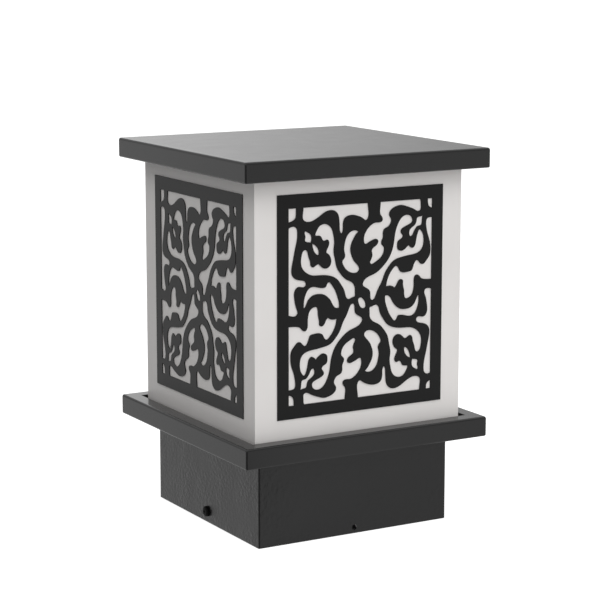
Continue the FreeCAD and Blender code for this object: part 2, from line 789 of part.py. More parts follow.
def earth_wire_route():
    """From the middle clamp of the block to the eyelet's barrel."""
    start = barrel_end - barrel_length
    inside_clamp = block_offset - clamp_screw_pitch / 2 - clamp_screw_radius
    return [point(0, inside_clamp, pole_height),
            point(0, block_offset - block_width / 2 - wire_tail, pole_height),
            point(start / 2, earth_depth, barrel_height),
            point(start + barrel_length / 2, earth_depth, barrel_height)]


nodes = {
    "base_skirt": skirt(),
    "lower_flange": lower_flange(),
    "base_tray": tray(),
    "cap": cap(),
    "lower_gasket": gasket_ring(tray_floor),
    "upper_gasket": gasket_ring(pane_high),
    "lower_frame": locating_frame(tray_floor, tray_floor, tray_floor + frame_leg),
    "upper_frame": locating_frame(cap_ceiling - sheet, cap_ceiling - frame_leg, cap_ceiling),
    "tie_rods": tie_rods(),
    "rod_washers": rod_washers(),
    "rod_nuts": rod_nuts(),
    "cap_nuts": cap_nuts(),
    "pillar_bracket": bracket(),
    "bracket_nuts": bracket_nuts(),
    "skirt_screws": skirt_screws(),
    "holder_body": holder_body(),
    "holder_shell": holder_shell(),
    "holder_contact": holder_contact(),
    "holder_terminals": holder_terminals(),
    "holder_screws": holder_screws(),
    "holder_nuts": holder_nuts(),
    "lamp_contact": lamp_contact(),
    "lamp_insulator": lamp_insulator(),
    "lamp_cap": lamp_cap(),
    "lamp_housing": lamp_housing(),
    "lamp_globe": lamp_globe(),
    "led_board": led_board(),
    "led_chips": led_chips(),
    "terminal_block": terminal_block(),
    "terminal_clamps": terminal_clamps(),
    "terminal_screws": terminal_screws(),
    "block_screws": block_screws(),
    "block_nuts": block_nuts(),
    "wire_grommet": grommet(),
    "earth_screw": earth_screw(),
    "earth_nut": earth_nut(),
    "earth_eyelet": earth_eyelet(),
    "live_wire": wire(lamp_wire_route(-1), "live_wire"),
    "neutral_wire": wire(lamp_wire_route(1), "neutral_wire"),
    "earth_wire": wire(earth_wire_route(), "earth_wire"),
}
front_pane = pane_solid()
front_screen = screen()
for quarter, side in enumerate(("front", "right", "back", "left")):
    nodes["diffuser_" + side] = turned(front_pane, 90 * quarter)
    nodes["screen_" + side] = turned(front_screen, 90 * quarter)

os.makedirs("parts", exist_ok=True)
for name, shape in nodes.items():
    shape.exportStep("parts/" + name + ".step")
print(len(nodes), "nodes")
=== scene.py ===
# %% [markdown]
# # A pillar light, dressed
# The folded housing, the panes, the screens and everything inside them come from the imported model. This
# lesson gives each of them its finish, replaces the small turned and threaded pieces with fuller ones,
# and sets the light in a plain studio.

# %% Load the frame
import math

import bmesh
import bpy
from mathutils import Matrix, Vector


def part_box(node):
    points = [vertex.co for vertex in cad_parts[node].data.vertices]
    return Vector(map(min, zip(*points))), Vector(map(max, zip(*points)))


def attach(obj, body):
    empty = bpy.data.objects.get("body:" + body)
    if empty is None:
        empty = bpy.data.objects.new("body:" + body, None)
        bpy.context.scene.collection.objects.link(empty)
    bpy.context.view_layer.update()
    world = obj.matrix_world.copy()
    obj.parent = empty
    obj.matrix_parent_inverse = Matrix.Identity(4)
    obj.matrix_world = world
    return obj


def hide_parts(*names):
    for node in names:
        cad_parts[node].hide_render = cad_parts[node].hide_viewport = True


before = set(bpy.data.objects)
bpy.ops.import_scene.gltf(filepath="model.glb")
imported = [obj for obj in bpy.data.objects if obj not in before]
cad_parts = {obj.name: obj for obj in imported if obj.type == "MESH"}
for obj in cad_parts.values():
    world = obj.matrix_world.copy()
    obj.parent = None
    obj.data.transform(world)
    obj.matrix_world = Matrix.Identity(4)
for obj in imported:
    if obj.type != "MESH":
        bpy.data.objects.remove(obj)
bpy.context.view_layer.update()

# %% [markdown]
# ## Small tools
# A colour is picked as a screen colour, but the shader counts light, so one function turns a hex value
# into light. Another adds a node and fills its sockets with a value or a link, so that a material reads
# as a short list. Millimetres are used for sizes, because the real pieces are drawn in them.

# %% Colour and node helpers
mm = 0.001


def light_of(hex_colour):
    """Turns a screen colour such as #808080 into linear light with full alpha."""
    parts = [int(hex_colour[k:k + 2], 16) / 255 for k in (1, 3, 5)]
    return tuple(c / 12.92 if c <= 0.04045 else ((c + 0.055) / 1.055) ** 2.4 for c in parts) + (1.0,)


def add(tree, kind, inputs=None, **settings):
    """Adds one node with its settings, and fills its inputs with values or with links."""
    node = tree.nodes.new(kind)
    for name, value in settings.items():
        setattr(node, name, value)
    for name, value in (inputs or {}).items():
        if isinstance(value, bpy.types.NodeSocket):
            tree.links.new(value, node.inputs[name])
        else:
            node.inputs[name].default_value = value
    return node


print("mid grey is", round(light_of("#808080")[0], 3), "in light")

# %% [markdown]
# ## Camera
# The photograph was taken with a long lens from a little above the light and to its left. Its place,
# turn and focal length were found from the edges of the square housing, whose corners are right angles.

# %% Camera
camera_data = bpy.data.cameras.new("camera")
camera_data.sensor_width = 36.0
camera_data.lens = 122.75
camera_data.clip_start = 0.05
camera = bpy.data.objects.new("camera", camera_data)
camera.location = (-0.6638, -1.1511, 0.3790)
camera.rotation_euler = (math.radians(90 - 10.141), math.radians(-0.025), math.radians(-29.966))
bpy.context.scene.collection.objects.link(camera)
bpy.context.scene.camera = camera
bpy.context.scene.view_settings.view_transform = "Standard"
print("camera", tuple(camera.location), "lens", camera_data.lens)

# %% [markdown]
# ## Studio
# The light stands in a white tent. Black powder coat has almost no colour of its own, so what the eye
# sees on it is the tent, mirrored weakly at a steep angle and strongly at a grazing one. Boards around
# the object could shape that, but they would stand in the way of other views. So Light Path tells apart
# what asks for light: the camera sees plain white, a reflection sees the tent's uneven walls, and a matt
# surface gets a softer light. Two helpers come first, because the floor uses them as well.

# %% Ramp and direction helpers


def ramp(tree, value, *stops):
    """A colour ramp of greys from (place, grey) pairs."""
    node = add(tree, "ShaderNodeValToRGB", {"Fac": value})
    while len(node.color_ramp.elements) < len(stops):
        node.color_ramp.elements.new(1.0)
    for element, (place, grey) in zip(node.color_ramp.elements, stops):
        element.position = place
        element.color = (grey, grey, grey, 1.0)
    return node.outputs["Color"]


def share_along(tree, vector, direction):
    """How far a vector points along a direction, mapped from -1..1 onto 0..1."""
    flat = add(tree, "ShaderNodeVectorMath", {0: vector, 1: (1, 1, 0)}, operation="MULTIPLY")
    unit = add(tree, "ShaderNodeVectorMath", {0: flat.outputs[0]}, operation="NORMALIZE")
    along = add(tree, "ShaderNodeVectorMath", {0: unit.outputs[0], 1: direction}, operation="DOT_PRODUCT")
    return add(tree, "ShaderNodeMapRange", {"Value": along.outputs["Value"], "From Min": -1.0}).outputs[0]


print("ramp and direction helpers ready")

# %% [markdown]
# ### What a reflection sees
# A tent is never quite even. Here the walls grow brighter upwards, the left one is a little brighter
# than the right one, and between them stands a bright strip. The roof is one even white. A ramp over the
# side that a ray leaves for is enough, because a soft reflection shows no more of the tent than that.

# %% Mirrored tent
world = bpy.data.worlds.new("white_tent")
bpy.context.scene.world = world
world.use_nodes = True
sky = world.node_tree
sky.nodes.clear()
to_right = (0.866, -0.5, 0.0)
wall_foot = 0.08
wall_bright = 0.26
foot_gain = 1.3
bright_gain = 2.2
roof_start = 0.55
roof_full = 0.75
roof_strength = 1.2
tent_place = add(sky, "ShaderNodeTexCoord").outputs["Generated"]
wall_side = share_along(sky, tent_place, to_right)
wall_grey = ramp(sky, wall_side, (0.0, 0.31), (0.30, 0.31), (0.42, 0.76), (0.58, 0.26), (1.0, 0.26))
tent_height = add(sky, "ShaderNodeSeparateXYZ", {0: tent_place}).outputs["Z"]
wall_gain = add(sky, "ShaderNodeMapRange", {"Value": tent_height, "From Min": wall_foot,
                                            "From Max": wall_bright, "To Min": foot_gain,
                                            "To Max": bright_gain}).outputs[0]
roof_share = add(sky, "ShaderNodeMapRange", {"Value": tent_height, "From Min": roof_start,
                                             "From Max": roof_full}).outputs[0]
mirrored_roof = add(sky, "ShaderNodeBackground", {"Color": (1, 1, 1, 1), "Strength": roof_strength})
mirrored_wall = add(sky, "ShaderNodeBackground", {"Color": wall_grey, "Strength": wall_gain})
mirrored_tent = add(sky, "ShaderNodeMixShader", {0: roof_share, 1: mirrored_wall.outputs[0],
                                                 2: mirrored_roof.outputs[0]})
print("the tent's roof mirrors at", roof_strength)

# %% [markdown]
# ### What a matt surface gets
# The panes scatter what falls on them, so they ask for the light of a whole side at once. It comes
# mostly from the front, which leaves the left pane darker than the front one. Then the answers are
# joined, and the plain white wall is kept for the camera and for glass.

# %% Matt light and the joined world
fill_direction = (0.3, -0.954, 0.0)
matt_gain = 1.58
tent_rays = add(sky, "ShaderNodeLightPath").outputs
fill_grey = ramp(sky, share_along(sky, tent_place, fill_direction),
                 (0.0, 0.28), (0.25, 0.13), (0.45, 0.13), (0.75, 0.45), (1.0, 0.75))
matt_light = add(sky, "ShaderNodeBackground", {"Color": fill_grey, "Strength": matt_gain})
white_wall = add(sky, "ShaderNodeBackground", {"Color": (1, 1, 1, 1), "Strength": 1.0})
with_mirrored = add(sky, "ShaderNodeMixShader", {0: tent_rays["Is Glossy Ray"], 1: matt_light.outputs[0],
                                                 2: mirrored_tent.outputs[0]})
with_wall = add(sky, "ShaderNodeMixShader", {0: tent_rays["Is Camera Ray"], 1: with_mirrored.outputs[0],
                                             2: white_wall.outputs[0]})
with_glass = add(sky, "ShaderNodeMixShader", {0: tent_rays["Is Transmission Ray"],
                                              1: with_wall.outputs[0], 2: white_wall.outputs[0]})
add(sky, "ShaderNodeOutputWorld", {"Surface": with_glass.outputs[0]})
print("the tent is brightest towards", fill_direction)

# %% [markdown]
# ### Floor
# The floor is a wide white board. A plane of one face is enough, because nothing of it shows but the
# object's shadow. It lies a hair under the skirt, so that the two never flicker through each other.

# %% Floor
floor_half = 20.0
floor_gap = 0.05 * mm
floor_mesh = bpy.data.meshes.new("studio_floor")
floor_shape = bmesh.new()
bmesh.ops.create_grid(floor_shape, x_segments=1, y_segments=1, size=floor_half)
floor_shape.to_mesh(floor_mesh)
floor_shape.free()
floor = bpy.data.objects.new("studio_floor", floor_mesh)
floor.location.z = -floor_gap
bpy.context.scene.collection.objects.link(floor)
print("floor", 2 * floor_half, "m wide")

# %% [markdown]
# The paint is plain diffuse white with some light of its own, which makes it as white as the tent and
# keeps the shadow. Under the light's own skirt it is hardly lit, so the skirt's inside stays dark.

# %% Floor paint
floor_paint = bpy.data.materials.new("white_painted_board_rolled")
floor_paint.use_nodes = True
board = floor_paint.node_tree
board.nodes.clear()
floor_lift = 0.8
skirt_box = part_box("base_skirt")
floor_place = add(board, "ShaderNodeTexCoord").outputs["Object"]
paint = add(board, "ShaderNodeBsdfDiffuse", {"Color": light_of("#d0d0d0")})
apart = add(board, "ShaderNodeSeparateXYZ", {0: floor_place})
reach = [add(board, "ShaderNodeMath", {0: apart.outputs[axis]}, operation="ABSOLUTE").outputs[0]
         for axis in (0, 1)]
widest = add(board, "ShaderNodeMath", {0: reach[0], 1: reach[1]}, operation="MAXIMUM")
outside = add(board, "ShaderNodeMath", {0: widest.outputs[0], 1: skirt_box[1][0]}, operation="GREATER_THAN")
strength = add(board, "ShaderNodeMath", {0: outside.outputs[0], 1: floor_lift}, operation="MULTIPLY")
lift = add(board, "ShaderNodeEmission", {"Color": (1, 1, 1, 1), "Strength": strength.outputs[0]})
lifted = add(board, "ShaderNodeAddShader", {0: paint.outputs[0], 1: lift.outputs[0]})
print("the floor is hardly lit out to", skirt_box[1][0], "m")

# %% [markdown]
# The camera looks down a little, so the housing's upright faces mirror the floor and not the walls. It
# is pale in reflections too, but dark towards the camera, as in front of a tent's opening. The nearest
# folds mirror that dark patch, which draws a fine dark line down them. From below, the floor can be seen
# through, so that the underside can be looked at.

# %% Floor in reflections
to_camera = (-0.5, -0.866, 0.0)
under_skirt = 0.35
floor_rays = add(board, "ShaderNodeLightPath").outputs
matt_grey = ramp(board, share_along(board, floor_place, fill_direction),
                 (0.0, 0.0), (0.50, 0.02), (1.0, 0.68))
matt_strength = add(board, "ShaderNodeMapRange", {"Value": outside.outputs[0], "To Min": under_skirt})
matt_floor = add(board, "ShaderNodeEmission", {"Color": matt_grey, "Strength": matt_strength.outputs[0]})
corner = add(board, "ShaderNodeVectorMath", {0: floor_place, 1: (-skirt_box[0][0], -skirt_box[0][1], 0)},
             operation="ADD")
floor_grey = ramp(board, share_along(board, corner.outputs[0], to_camera),
                  (0.0, 0.77), (0.40, 0.77), (0.70, 0.90), (0.78, 0.88), (0.90, 0.18))
mirrored_floor = add(board, "ShaderNodeEmission", {"Color": floor_grey, "Strength": 1.0})
with_matt = add(board, "ShaderNodeMixShader", {0: floor_rays["Is Diffuse Ray"], 1: lifted.outputs[0],
                                               2: matt_floor.outputs[0]})
with_gloss = add(board, "ShaderNodeMixShader", {0: floor_rays["Is Glossy Ray"], 1: with_matt.outputs[0],
                                                2: mirrored_floor.outputs[0]})
from_below = add(board, "ShaderNodeNewGeometry").outputs["Backfacing"]
clear = add(board, "ShaderNodeBsdfTransparent")
one_sided = add(board, "ShaderNodeMixShader", {0: from_below, 1: with_gloss.outputs[0],
                                               2: clear.outputs[0]})
add(board, "ShaderNodeOutputMaterial", {"Surface": one_sided.outputs[0]})
floor_mesh.materials.append(floor_paint)
print("the floor is dark towards", to_camera)

# %% [markdown]
# ### Lamps
# Under the cap's edge the panes darken slowly, over some 25 mm. That asks for light from well above, so
# two broad lamps stand high, one in front and a somewhat stronger one on the left. A small lamp would
# draw a hard edge there. They stay out of reflections, so that no bright square lies on the coat.

# %% Lamps


def soft_lamp(name, place, aim, width, power):
    """A square area lamp at a place, turned to face a point."""
    data = bpy.data.lights.new(name, "AREA")
    data.shape = "SQUARE"
    data.size = width
    data.energy = power
    lamp = bpy.data.objects.new(name, data)
    lamp.location = place
    lamp.rotation_euler = (Vector(aim) - Vector(place)).to_track_quat("-Z", "Y").to_euler()
    lamp.visible_glossy = False
    bpy.context.scene.collection.objects.link(lamp)
    return lamp


middle = (0.0, 0.0, 0.13)
lamp_width = 1.2
front_lamp = soft_lamp("front_lamp", (0.3, -1.6, 2.05), middle, lamp_width, 10.5)
left_lamp = soft_lamp("left_lamp", (-1.45, 0.1, 2.15), middle, lamp_width, 13.0)
print("lamps", front_lamp.data.energy, "W and", left_lamp.data.energy, "W")

# %% [markdown]
# ## Finishes
# Each material starts from the real one. They all begin the same way: a Principled surface whose
# constant values sit on its own sockets, and a pattern read in the object's own millimetres.

# %% Start of a finish


def finish(name, colour, roughness, **constants):
    """Starts a material: returns it with its tree, its Principled surface and its own coordinates."""
    material = bpy.data.materials.new(name)
    material.use_nodes = True
    tree = material.node_tree
    tree.nodes.clear()
    surface = add(tree, "ShaderNodeBsdfPrincipled", {"Base Color": light_of(colour),
                                                     "Roughness": roughness})
    for socket, value in constants.items():
        surface.inputs[socket.replace("_", " ")].default_value = value
    add(tree, "ShaderNodeOutputMaterial", {"Surface": surface.outputs[0]})
    coords = add(tree, "ShaderNodeTexCoord").outputs["Object"]
    return material, tree, surface, coords


print("finish starts ready")

# %% [markdown]
# ### Patterns
# All patterns here are noise, read at a size in millimetres. Most values of a noise lie between 0.3 and
# 0.7, so that range is spread over the one that is asked for. A noise can be a height for a bump, a share
# between two tones or a drift in the gloss. An image would do as well, but noise has no seams and needs
# no file.

# %% Patterns
noise_low = 0.3
noise_high = 0.7


def grain(tree, coords, size, detail=2.0, stretch=(1, 1, 1)):
    """Noise whose lumps are about size metres across, stretched along the axes if asked."""
    scale = tuple(1 / (size * s) for s in stretch)
    mapping = add(tree, "ShaderNodeMapping", {"Vector": coords, "Scale": scale})
    return add(tree, "ShaderNodeTexNoise", {"Vector": mapping.outputs[0], "Scale": 1.0, "Detail": detail,
                                            "Roughness": 0.5}).outputs["Fac"]


def spread(tree, value, low, high):
    """Maps a noise value's middle range onto low to high."""
    return add(tree, "ShaderNodeMapRange", {"Value": value, "From Min": noise_low, "From Max": noise_high,
                                            "To Min": low, "To Max": high}).outputs[0]


def bumps(tree, surface, height, depth, after=None):
    """Turns a height between nought and one into a bump depth metres deep, after another bump if given."""
    inputs = {"Height": height, "Distance": depth, "Strength": 1.0}
    if after is not None:
        inputs["Normal"] = after
    normal = add(tree, "ShaderNodeBump", inputs).outputs[0]
    tree.links.new(normal, surface.inputs["Normal"])
    return normal


def two_tone(tree, surface, share, low_colour, high_colour):
    """Lets the colour drift from one tone to another by a share."""
    tone = add(tree, "ShaderNodeMix", {"Factor": share, "A": light_of(low_colour),
                                       "B": light_of(high_colour)}, data_type="RGBA")
    tree.links.new(tone.outputs["Result"], surface.inputs["Base Color"])


print("noise is read from", noise_low, "to", noise_high)

# %% [markdown]
# ### Powder coat
# The housing is folded steel sprayed with black polyester powder and baked. The melted powder leaves
# shallow waves, called orange peel, about 2 to 4 mm across. They are too shallow to change an outline
# and show only in how they bend reflections, so they are a bump. The skirt's are drawn deeper than in
# life, so that they show from this far. The cap and flange are almost smooth, and the screens are matt.

# %% Powder coats
peels_per_patch = 9
patch_floor = 0.3
peel_detail = 2.5
peel_stretch = (1.0, 1.0, 0.9)
fine_size = 0.7 * mm
fine_part = 10
cloud_size = 14 * mm
cloud_range = 0.01


def powder_coat(name, colour, roughness, peel_size, peel_depth, specular):
    """A coat with orange peel in uneven patches, a finer grain over it and a slightly clouded gloss."""
    material, tree, surface, coords = finish(name, colour, roughness, IOR=1.5, Specular_IOR_Level=specular)
    patches = spread(tree, grain(tree, coords, peels_per_patch * peel_size, 1.0), patch_floor, 1.0)
    lumps = grain(tree, coords, peel_size, peel_detail, peel_stretch)
    peel = add(tree, "ShaderNodeMath", {0: lumps, 1: patches}, operation="MULTIPLY")
    first = bumps(tree, surface, peel.outputs[0], peel_depth)
    fine = grain(tree, coords, fine_size, 1.0)
    bumps(tree, surface, fine, peel_depth / fine_part, first)
    cloud = spread(tree, grain(tree, coords, cloud_size, 2.0), roughness - cloud_range,
                   roughness + cloud_range)
    tree.links.new(cloud, surface.inputs["Roughness"])
    return material


coat_peel = powder_coat("polyester_powder_coat_orange_peel", "#0d0d0d", 0.26, 2.6 * mm, 0.50 * mm, 0.46)
coat_smooth = powder_coat("polyester_powder_coat_smooth", "#0d0d0d", 0.22, 2.4 * mm, 0.01 * mm, 0.48)
coat_matt = powder_coat("polyester_powder_coat_matt", "#0a0a0a", 0.40, 1.4 * mm, 0.01 * mm, 0.27)
print("powder coats", coat_peel.name, coat_smooth.name, coat_matt.name)

# %% [markdown]
# ### Opal acrylic
# The panes are white extruded acrylic. The opal pigment scatters light inside the sheet, so its shadows
# have soft edges, and its faces keep a low gloss. A scattering volume would do this, slowly and with
# noise. On a sheet of 3 mm a little subsurface scattering looks the same.

# %% Opal acrylic
tint_size = 30 * mm
wave_size = 6 * mm
wave_height = 0.01 * mm
opal, tree, surface, coords = finish("opal_acrylic_extruded", "#e6e3e1", 0.3, IOR=1.49,
                                     Subsurface_Weight=0.1, Subsurface_Scale=0.8 * mm)
surface.inputs["Subsurface Radius"].default_value = (1.0, 1.0, 0.95)
tint = spread(tree, grain(tree, coords, tint_size, 2.0), 0.0, 1.0)
two_tone(tree, surface, tint, "#e5e2e0", "#e8e5e3")
bumps(tree, surface, grain(tree, coords, wave_size, 1.0), wave_height)
print("panes", opal.name)

# %% [markdown]
# ### Metals
# A bare metal has no colour under its shine: the shine itself is tinted. Plating and tarnish are never
# quite even, so each metal drifts between two colours, and its roughness drifts with them. The metal
# pieces are small and sit inside, where scratches would be too fine to see, so they have none.

# %% Metals
dull_by = 0.03
bright_by = 0.02
pits_per_patch = 12
pit_depth = 0.004 * mm


def metal(name, low_colour, high_colour, roughness, patch):
    """A metal that drifts between two colours in patches."""
    material, tree, surface, coords = finish(name, high_colour, roughness, Metallic=1.0)
    drift = grain(tree, coords, patch, 3.0)
    two_tone(tree, surface, spread(tree, drift, 0.0, 1.0), low_colour, high_colour)
    gloss = spread(tree, drift, roughness + dull_by, roughness - bright_by)
    tree.links.new(gloss, surface.inputs["Roughness"])
    bumps(tree, surface, grain(tree, coords, patch / pits_per_patch, 1.0), pit_depth)
    return material


zinc = metal("steel_zinc_electroplated", "#c2c5c8", "#cdd0d2", 0.34, 7 * mm)
brass = metal("brass_turned", "#b98f45", "#dcb46a", 0.28, 4 * mm)
nickel = metal("brass_nickel_plated_rolled", "#c0bbb0", "#dbd7cf", 0.18, 6 * mm)
tinned = metal("copper_hot_tinned", "#b9ada0", "#dcd5cb", 0.34, 2 * mm)
print("metals", zinc.name, brass.name, nickel.name, tinned.name)

# %% [markdown]
# ### Moulded plastics and rubber
# A moulding takes the fine spark-eroded grain of its tool. A soft PVC or rubber piece is duller than a
# hard one. A thin white plastic lets some light in, which softens its shadows. The black oxide of the
# outside screws is made here too: it is a thin oiled crust that shines no more than a dull plastic.

# %% Mouldings
grains_per_patch = 12
glossier_by = 0.04
duller_by = 0.05


def moulded(name, colour, roughness, texture, depth, **constants):
    """A plastic or rubber with the grain of its mould."""
    material, tree, surface, coords = finish(name, colour, roughness, **constants)
    drift = grain(tree, coords, grains_per_patch * texture, 2.0)
    gloss = spread(tree, drift, roughness - glossier_by, roughness + duller_by)
    tree.links.new(gloss, surface.inputs["Roughness"])
    bumps(tree, surface, grain(tree, coords, texture, 1.0), depth)
    return material


def translucent(weight, depth):
    """Settings for a plastic that light enters to a depth."""
    return {"Subsurface_Weight": weight, "Subsurface_Scale": depth}


blackened = moulded("steel_black_oxide_oiled", "#060606", 0.5, 0.4 * mm, 0.006 * mm,
                    Specular_IOR_Level=0.08)
rubber = moulded("epdm_rubber_moulded", "#1d1d1c", 0.62, 0.5 * mm, 0.02 * mm)
thermoset = moulded("urea_thermoset_moulded", "#e7e6df", 0.3, 1.2 * mm, 0.008 * mm,
                    **translucent(0.1, 1 * mm))
housing_plastic = moulded("polycarbonate_white_moulded", "#f1f1f0", 0.38, 0.6 * mm, 0.012 * mm)
cover_plastic = moulded("polycarbonate_opal_blown", "#f3f3f1", 0.5, 2 * mm, 0.01 * mm,
                        **translucent(0.4, 2 * mm))
black_glass = moulded("black_glass_pressed", "#303030", 0.12, 2 * mm, 0.01 * mm)
solder_mask = moulded("aluminium_board_white_masked", "#edeceb", 0.4, 0.3 * mm, 0.003 * mm)
phosphor = moulded("silicone_phosphor_cast", "#f3e07c", 0.3, 0.4 * mm, 0.006 * mm,
                   **translucent(0.3, 0.5 * mm))
polyamide = moulded("polyamide_natural_moulded", "#e9e9e5", 0.42, 0.7 * mm, 0.012 * mm,
                    **translucent(0.25, 1.5 * mm))
live_pvc = moulded("pvc_black_extruded", "#262626", 0.42, 0.8 * mm, 0.006 * mm)
neutral_pvc = moulded("pvc_white_extruded", "#eeedeb", 0.42, 0.8 * mm, 0.006 * mm)
earth_pvc = moulded("pvc_green_extruded", "#3fa061", 0.42, 0.8 * mm, 0.006 * mm)
print("mouldings", rubber.name, thermoset.name, polyamide.name, "and oxide", blackened.name)

# %% [markdown]
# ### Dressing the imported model
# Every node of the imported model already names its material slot. A table from slot to finish dresses
# them all, and then the skirt gets its coarser coat.

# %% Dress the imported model
finish_of = {
    "black_powder_coat": coat_smooth, "screen_coat": coat_matt, "opal_acrylic": opal,
    "zinc_plated_steel": zinc, "blackened_steel": blackened, "seal_rubber": rubber,
    "holder_thermoset": thermoset, "brass": brass, "lamp_cap_metal": nickel, "lamp_glass": black_glass,
    "lamp_plastic": housing_plastic, "lamp_opal": cover_plastic, "board": solder_mask,
    "phosphor": phosphor, "block_polyamide": polyamide, "eyelet_copper": tinned,
    "live_insulation": live_pvc, "neutral_insulation": neutral_pvc, "earth_insulation": earth_pvc,
}


def dress(node, material):
    """Gives a finish to one CAD node by filling its object's material slots."""
    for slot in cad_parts[node].material_slots:
        slot.link = "OBJECT"
        slot.material = material


for node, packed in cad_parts.items():
    dress(node, finish_of[packed.material_slots[0].material.name])
dress("base_skirt", coat_peel)
print("dressed", len(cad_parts), "nodes")

# %% [markdown]
# ## Small pieces
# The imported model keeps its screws, nuts and rods plain. Here they get threads, chamfers and recesses.
# They are drawn in millimetres, and a last step scales them to metres. Each is a bmesh shape, and most
# start as a profile of (radius, height) points, which the spin operator turns about the Z axis.

# %% Spun profiles
close_by = 0.001
round_steps = 48


def tidy(shape):
    """Merges doubled points and turns every face outwards."""
    bmesh.ops.remove_doubles(shape, verts=shape.verts[:], dist=close_by)
    bmesh.ops.recalc_face_normals(shape, faces=shape.faces[:])
    return shape


def chain(shape, points):
    """A run of edges through (radius, height) points in the XZ plane."""
    corners = [shape.verts.new((r, 0.0, z)) for r, z in points]
    return corners + [shape.edges.new(pair) for pair in zip(corners, corners[1:])]


def spun(points, steps=round_steps):
    """A closed shape spun about Z. A profile that leaves the axis has to return to its first point."""
    shape = bmesh.new()
    bmesh.ops.spin(shape, geom=chain(shape, points), cent=(0, 0, 0), axis=(0, 0, 1), dvec=(0, 0, 0),
                   angle=math.tau, steps=steps, use_merge=True)
    return tidy(shape)


def ring(points, steps=round_steps):
    """A spun shape with a hole, from a profile that closes on itself."""
    return spun(points + points[:1], steps)


print("a full turn takes", round_steps, "steps")

# %% [markdown]
# ### Copies
# A screw is made once and set at each of its places. Its copies are turned and moved as shapes, before
# there is an object, because a finished piece stays at the origin, with its place in its mesh.

# %% Joining and copying


def joined(*shapes):
    """Several shapes as one, each with its own faces."""
    whole = bmesh.new()
    for shape in shapes:
        step = bpy.data.meshes.new("step")
        shape.to_mesh(step)
        whole.from_mesh(step)
        bpy.data.meshes.remove(step)
    return whole


def at(shape, places, turn=Matrix()):
    """Copies of one shape at several places, each after the same turn."""
    copies = []
    for place in places:
        copies.append(shape.copy())
        bmesh.ops.transform(copies[-1], matrix=Matrix.Translation(place) @ turn, verts=copies[-1].verts[:])
    return joined(*copies)


print("joining and copying ready")

# %% [markdown]
# ### Carving
# A recess or a slot is cut with a Boolean modifier in its exact mode, because bmesh has no operator for
# it. Two objects are made for the moment, the result is read back, and both are removed.

# %% Carving


def carved(shape, tool, operation="DIFFERENCE"):
    """A shape less another one, or with INTERSECT what the two share."""
    pair = []
    for part in (shape, tool):
        mesh = bpy.data.meshes.new("carving")
        part.to_mesh(mesh)
        pair.append(bpy.data.objects.new("carving", mesh))
        bpy.context.scene.collection.objects.link(pair[-1])
    cut = pair[0].modifiers.new("cut", "BOOLEAN")
    cut.operation = operation
    cut.solver = "EXACT"
    cut.object = pair[1]
    result = bmesh.new()
    result.from_object(pair[0], bpy.context.evaluated_depsgraph_get())
    for part in pair:
        mesh = part.data
        bpy.data.objects.remove(part)
        bpy.data.meshes.remove(mesh)
    return result


print("carving ready")

# %% [markdown]
# ### From shape to piece
# A finished shape becomes an object with one material slot for each finish. Round faces are shaded
# smooth, and edges sharper than 38 degrees stay hard. The piece is then hung on the body that carries it,
# and the nodes of the imported model that it stands in for are hidden. Places are read from the same nodes.

# %% Pieces
sharp_angle = math.radians(38)


def piece(name, parts, body, slot, *nodes):
    """Makes one object of (shape, finish) pairs, rides it on a body and puts it in place of CAD nodes."""
    mesh = bpy.data.meshes.new(name)
    for number, (shape, material) in enumerate(parts):
        mesh.materials.append(material)
        for face in shape.faces:
            face.material_index = number
            face.smooth = True
        for edge in shape.edges:
            edge.smooth = len(edge.link_faces) == 2 and edge.calc_face_angle() < sharp_angle
    whole = joined(*[shape for shape, material in parts])
    bmesh.ops.scale(whole, vec=(mm, mm, mm), verts=whole.verts[:])
    whole.to_mesh(mesh)
    made = bpy.data.objects.new(name, mesh)
    bpy.context.scene.collection.objects.link(made)
    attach(made, body)
    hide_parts(*nodes)
    print(name, len(mesh.polygons), "faces")


def span(node):
    """The lowest and highest corner of a CAD node in millimetres."""
    return [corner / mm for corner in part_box(node)]


print("edges over", round(math.degrees(sharp_angle)), "degrees stay hard")

# %% [markdown]
# ### Threads
# A metric thread is one pitch of a V profile swept up a helix. The V is cut off flat, an eighth of a
# pitch wide at the crest and a quarter at the root. bmesh can sweep it with spin, which also lifts each
# step a little. A short coil is swept once and stacked, because a long sweep is slow. It starts and ends
# past the rod's ends, and two planes trim it flat.

# %% Thread
thread_steps = 16
coil_turns = 6
thread_depth_share = 0.6134


def threaded(crest, pitch, low, high):
    """A threaded rod along Z between two heights, with its ends closed."""
    coil = bmesh.new()
    root = crest - thread_depth_share * pitch
    profile = [(crest, -pitch / 16), (crest, pitch / 16), (root, 3 * pitch / 8), (root, 5 * pitch / 8),
               (crest, 15 * pitch / 16)]
    bottom = [(r, z + low - 2 * pitch) for r, z in profile]
    bmesh.ops.spin(coil, geom=chain(coil, bottom), cent=(0, 0, 0), axis=(0, 0, 1),
                   dvec=(0, 0, pitch / thread_steps), angle=math.tau * coil_turns,
                   steps=thread_steps * coil_turns, use_merge=False)
    lift = coil_turns * pitch
    count = math.ceil((high - low + 3 * pitch) / lift)
    shape = at(coil, [(0, 0, k * lift) for k in range(count)])
    bmesh.ops.remove_doubles(shape, verts=shape.verts[:], dist=close_by)
    for height, side in ((low, -1), (high, 1)):
        everything = shape.verts[:] + shape.edges[:] + shape.faces[:]
        cut = bmesh.ops.bisect_plane(shape, geom=everything, plane_co=(0, 0, height),
                                     plane_no=(0, 0, side), clear_outer=True)
        rim = [part for part in cut["geom_cut"] if isinstance(part, bmesh.types.BMEdge)]
        bmesh.ops.contextual_create(shape, geom=rim)
    return tidy(shape)


m4_radius = 2.0
m4_pitch = 0.7
m3_radius = 1.5
m3_pitch = 0.5
print("M4 root radius", round(m4_radius - thread_depth_share * m4_pitch, 3), "mm")

